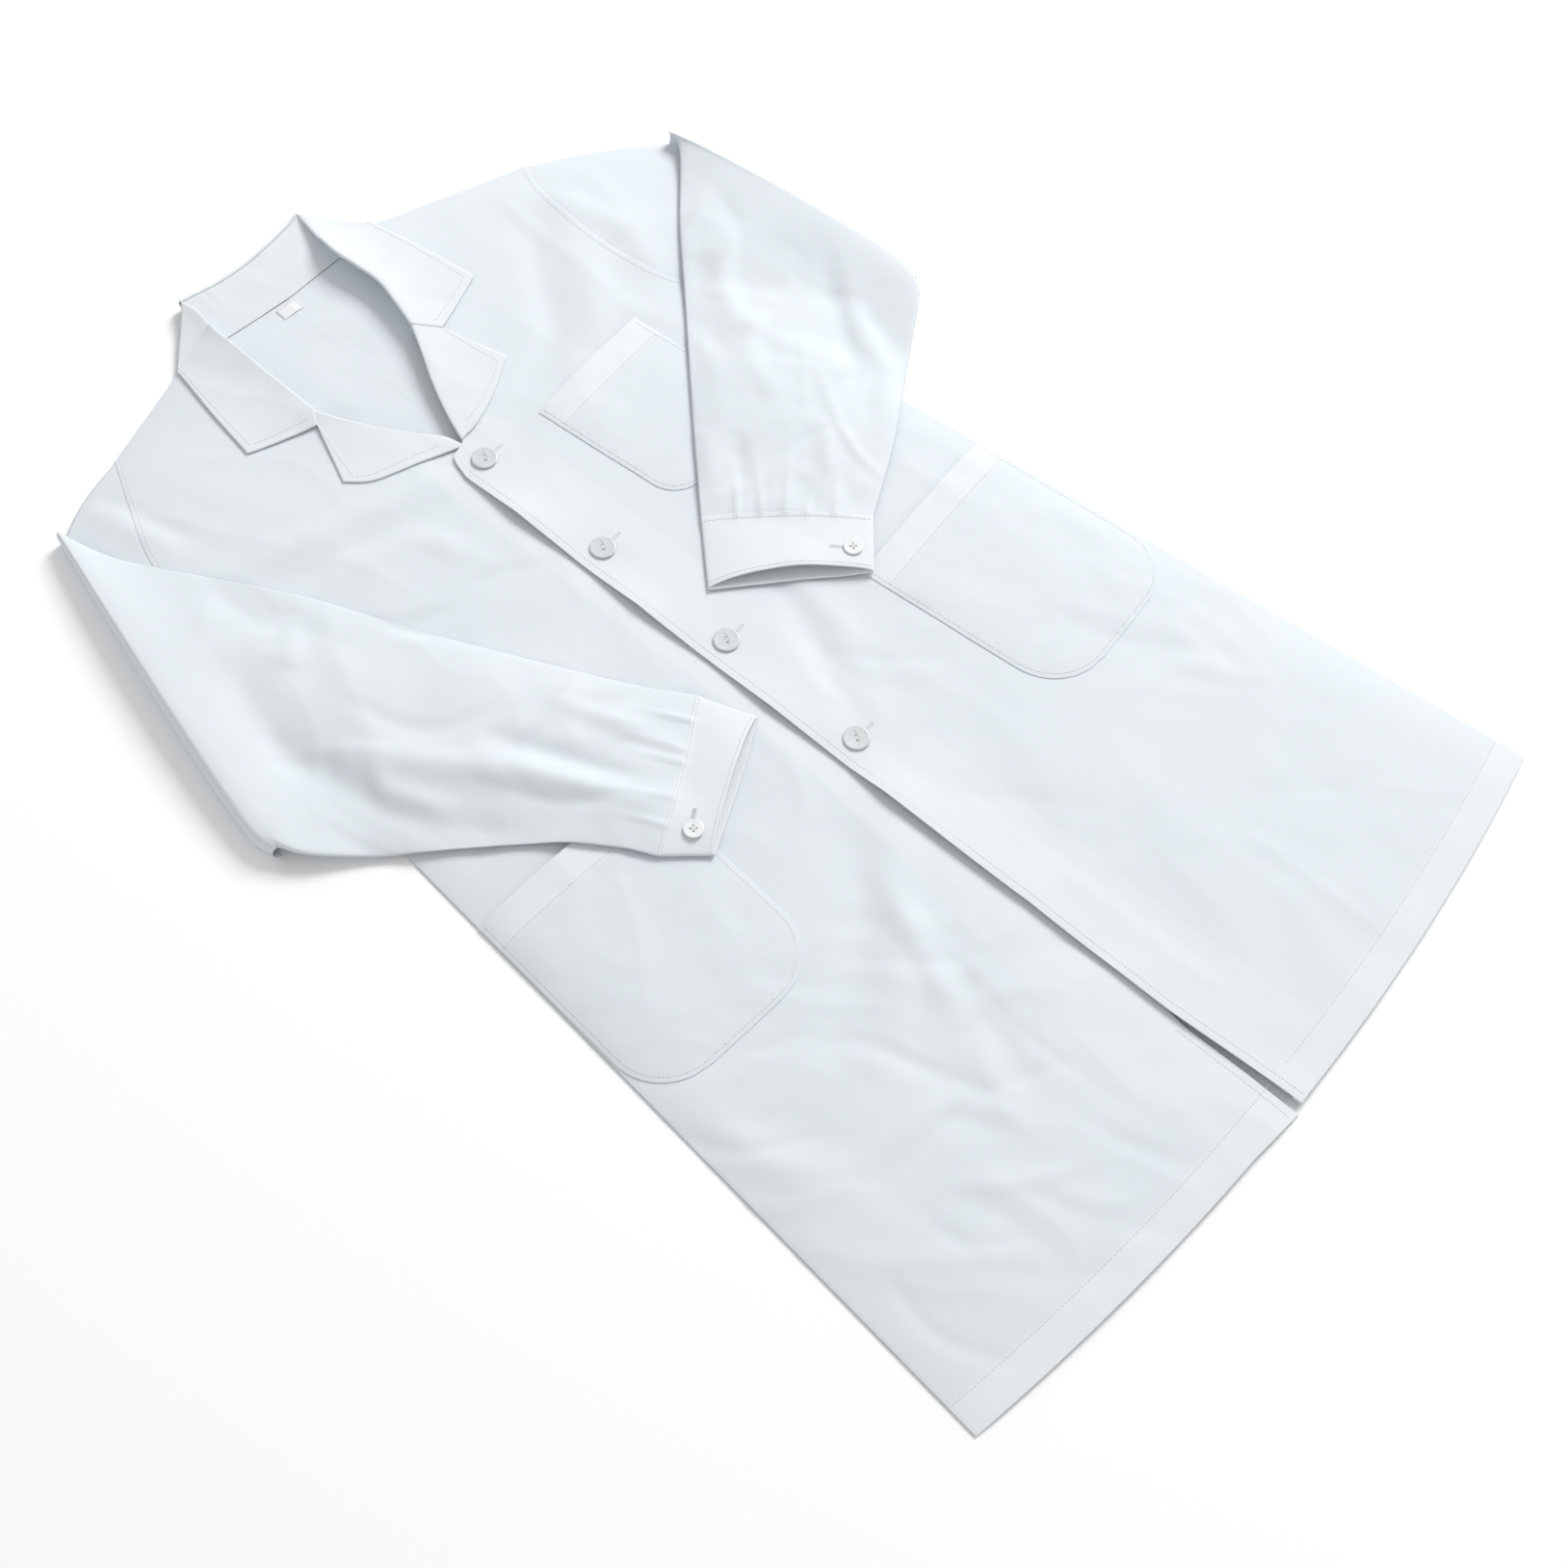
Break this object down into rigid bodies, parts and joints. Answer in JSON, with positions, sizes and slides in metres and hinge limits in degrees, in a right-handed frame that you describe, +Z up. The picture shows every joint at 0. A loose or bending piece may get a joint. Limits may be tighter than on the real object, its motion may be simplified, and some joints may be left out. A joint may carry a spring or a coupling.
{
  "type": "lab coat",
  "caption": "Knee-length white cotton lab coat with notched collar, patch pockets, long buttoned-cuff sleeves folded over the buttoned front.",
  "frame": {"origin": "under the middle of the coat as it lies, on the surface it lies on", "axes": "+Z up from the surface, +Y from the hem to the collar, +X towards the wearer's left"},
  "size_m": [0.705, 1.059, 0.0266],
  "materials": {
    "cotton": "plain woven poly-cotton, matt, pressed",
    "pearl_button": "pearly translucent, polished",
    "white_button": "opaque white, polished",
    "thread": "twisted polyester thread",
    "label": "woven satin tape, blank"
  },
  "bodies": {
    "coat_body": {"back_left": "cotton", "back_right": "cotton", "front_left": "cotton", "front_right": "cotton", "facing_left": "cotton", "facing_right": "cotton", "collar_stand": "cotton", "under_collar": "cotton", "collar_wing_left": "cotton", "collar_wing_right": "cotton", "sleeve_cap_left": "cotton", "sleeve_cap_right": "cotton", "chest_pocket": "cotton", "hip_pocket_left": "cotton", "hip_pocket_right": "cotton", "size_label": "label", "front_shank_1": "thread", "front_shank_2": "thread", "front_shank_3": "thread", "front_shank_4": "thread"},
    "left_forearm": {"sleeve_under_left": "cotton", "sleeve_over_left": "cotton", "sleeve_edge_left": "cotton", "sleeve_seam_left": "cotton", "cuff_left": "cotton", "cuff_shank_left": "thread"},
    "right_forearm": {"sleeve_under_right": "cotton", "sleeve_over_right": "cotton", "sleeve_edge_right": "cotton", "sleeve_seam_right": "cotton", "cuff_right": "cotton", "cuff_shank_right": "thread"},
    "left_lapel": {"collar_end_left": "cotton", "lapel_left": "cotton"},
    "right_lapel": {"collar_end_right": "cotton", "lapel_right": "cotton"},
    "left_skirt_corner": {"skirt_left": "cotton", "skirt_facing_left": "cotton"},
    "right_skirt_corner": {"skirt_right": "cotton", "skirt_facing_right": "cotton"},
    "front_button_1_disc": {"front_button_1": "pearl_button"},
    "front_button_2_disc": {"front_button_2": "pearl_button"},
    "front_button_3_disc": {"front_button_3": "pearl_button"},
    "front_button_4_disc": {"front_button_4": "pearl_button"},
    "cuff_button_left_disc": {"cuff_button_left": "white_button"},
    "cuff_button_right_disc": {"cuff_button_right": "white_button"}
  },
  "joints": [
    {"name": "right_sleeve_fold", "type": "hinge", "parent": "coat_body", "child": "right_forearm", "pos_m": [-0.313, 0.2715, 0.0155], "axis": [-0.2397, -0.9709, 0], "range_deg": [0, 175]},
    {"name": "left_sleeve_fold", "type": "hinge", "parent": "coat_body", "child": "left_forearm", "pos_m": [0.343, 0.234, 0.0155], "axis": [-0.0732, 0.9973, 0], "range_deg": [0, 175]},
    {"name": "right_lapel_turn", "type": "hinge", "parent": "coat_body", "child": "right_lapel", "pos_m": [-0.0475, 0.361, 0.009], "axis": [-0.2542, 0.9671, 0], "range_deg": [0, 105]},
    {"name": "left_lapel_turn", "type": "hinge", "parent": "coat_body", "child": "left_lapel", "pos_m": [0.0295, 0.3645, 0.011], "axis": [-0.3223, -0.9466, 0], "range_deg": [0, 105]},
    {"name": "left_skirt_turn", "type": "hinge", "parent": "coat_body", "child": "left_skirt_corner", "pos_m": [0.0515, -0.3485, 0.0098], "axis": [-0.4303, 0.9027, 0], "range_deg": [0, 150]},
    {"name": "right_skirt_turn", "type": "hinge", "parent": "coat_body", "child": "right_skirt_corner", "pos_m": [-0.08025, -0.48, 0.0078], "axis": [-0.7427, -0.6696, 0], "range_deg": [0, 150]},
    {"name": "front_button_1_swivel", "type": "hinge", "parent": "coat_body", "child": "front_button_1_disc", "pos_m": [-0.0095, 0.2425, 0.0106], "axis": [0, 0, 1], "range_deg": [-40, 40]},
    {"name": "front_button_2_swivel", "type": "hinge", "parent": "coat_body", "child": "front_button_2_disc", "pos_m": [-0.0095, 0.118, 0.0106], "axis": [0, 0, 1], "range_deg": [-40, 40]},
    {"name": "front_button_3_swivel", "type": "hinge", "parent": "coat_body", "child": "front_button_3_disc", "pos_m": [-0.0095, -0.0065, 0.0106], "axis": [0, 0, 1], "range_deg": [-40, 40]},
    {"name": "front_button_4_swivel", "type": "hinge", "parent": "coat_body", "child": "front_button_4_disc", "pos_m": [-0.0095, -0.131, 0.0106], "axis": [0, 0, 1], "range_deg": [-40, 40]},
    {"name": "cuff_button_left_swivel", "type": "hinge", "parent": "left_forearm", "child": "cuff_button_left_disc", "pos_m": [0.1115, -0.0255, 0.0244], "axis": [0, 0, 1], "range_deg": [-40, 40]},
    {"name": "cuff_button_right_swivel", "type": "hinge", "parent": "right_forearm", "child": "cuff_button_right_disc", "pos_m": [-0.1435, -0.0955, 0.0244], "axis": [0, 0, 1], "range_deg": [-40, 40]}
  ]
}
